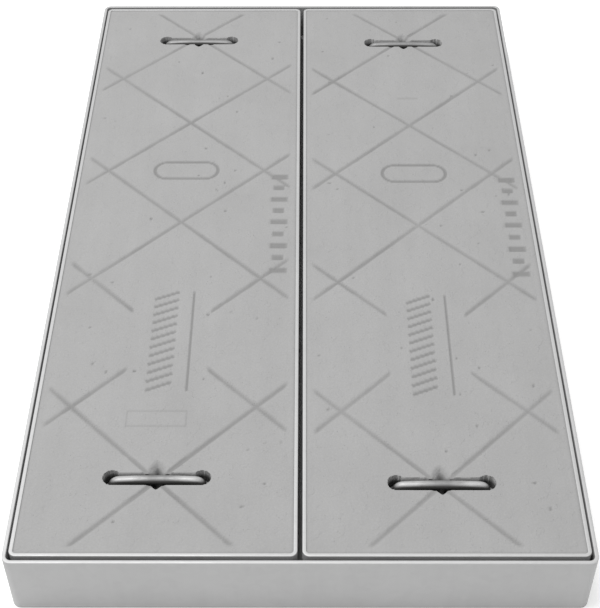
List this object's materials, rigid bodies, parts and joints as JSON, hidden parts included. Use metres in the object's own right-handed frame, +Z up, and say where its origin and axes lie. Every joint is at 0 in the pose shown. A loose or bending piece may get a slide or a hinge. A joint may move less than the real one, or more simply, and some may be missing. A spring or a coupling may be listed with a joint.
{
  "type": "twin-leaf access chamber cover",
  "caption": "Rectangular steel frame with two concrete-filled lift-out leaves, each with recessed drop handles and a lattice of shallow grooves.",
  "frame": {"origin": "middle of the frame's underside", "axes": "+Z up, +Y along the leaves away from the front end, +X to the right"},
  "size_m": [0.73, 1.23, 0.098],
  "materials": {
    "frame_steel": "hot-dip galvanised, weathered to a dull grey",
    "seat_steel": "hot-dip galvanised, dull",
    "leaf_edge_steel": "galvanised, arrises worn bright",
    "pan_steel": "galvanised sheet",
    "concrete": "trowelled grey concrete, grooved, matt",
    "reinforcement": "black mill steel",
    "sleeve_steel": "plain steel tube",
    "handle_steel": "galvanised round bar, worn bright on top"
  },
  "bodies": {
    "frame": {"wall_left": "frame_steel", "wall_right": "frame_steel", "wall_front": "frame_steel", "wall_rear": "frame_steel", "seat_left": "seat_steel", "seat_right": "seat_steel", "seat_front": "seat_steel", "seat_rear": "seat_steel", "centre_beam": "seat_steel", "beam_cradle_front": "seat_steel", "beam_cradle_rear": "seat_steel"},
    "leaf_left": {"left_edge_outer": "leaf_edge_steel", "left_edge_inner": "leaf_edge_steel", "left_edge_near": "leaf_edge_steel", "left_edge_far": "leaf_edge_steel", "left_pan": "pan_steel", "left_concrete": "concrete", "left_long_rebars": "reinforcement", "left_cross_rebars": "reinforcement", "left_near_sleeves": "sleeve_steel", "left_far_sleeves": "sleeve_steel"},
    "leaf_right": {"right_edge_outer": "leaf_edge_steel", "right_edge_inner": "leaf_edge_steel", "right_edge_near": "leaf_edge_steel", "right_edge_far": "leaf_edge_steel", "right_pan": "pan_steel", "right_concrete": "concrete", "right_long_rebars": "reinforcement", "right_cross_rebars": "reinforcement", "right_near_sleeves": "sleeve_steel", "right_far_sleeves": "sleeve_steel"},
    "handle_left_near": {"left_near_handle": "handle_steel", "left_near_stops": "handle_steel"},
    "handle_left_far": {"left_far_handle": "handle_steel", "left_far_stops": "handle_steel"},
    "handle_right_near": {"right_near_handle": "handle_steel", "right_near_stops": "handle_steel"},
    "handle_right_far": {"right_far_handle": "handle_steel", "right_far_stops": "handle_steel"}
  },
  "joints": [
    {"name": "left_leaf_lift", "type": "slide", "parent": "frame", "child": "leaf_left", "axis": [0, 0, 1], "range_m": [0, 0.12]},
    {"name": "right_leaf_lift", "type": "slide", "parent": "frame", "child": "leaf_right", "axis": [0, 0, 1], "range_m": [0, 0.12]},
    {"name": "left_near_handle_pull", "type": "slide", "parent": "leaf_left", "child": "handle_left_near", "axis": [0, 0, 1], "range_m": [0, 0.029]},
    {"name": "left_far_handle_pull", "type": "slide", "parent": "leaf_left", "child": "handle_left_far", "axis": [0, 0, 1], "range_m": [0, 0.029]},
    {"name": "right_near_handle_pull", "type": "slide", "parent": "leaf_right", "child": "handle_right_near", "axis": [0, 0, 1], "range_m": [0, 0.029]},
    {"name": "right_far_handle_pull", "type": "slide", "parent": "leaf_right", "child": "handle_right_far", "axis": [0, 0, 1], "range_m": [0, 0.029]}
  ]
}
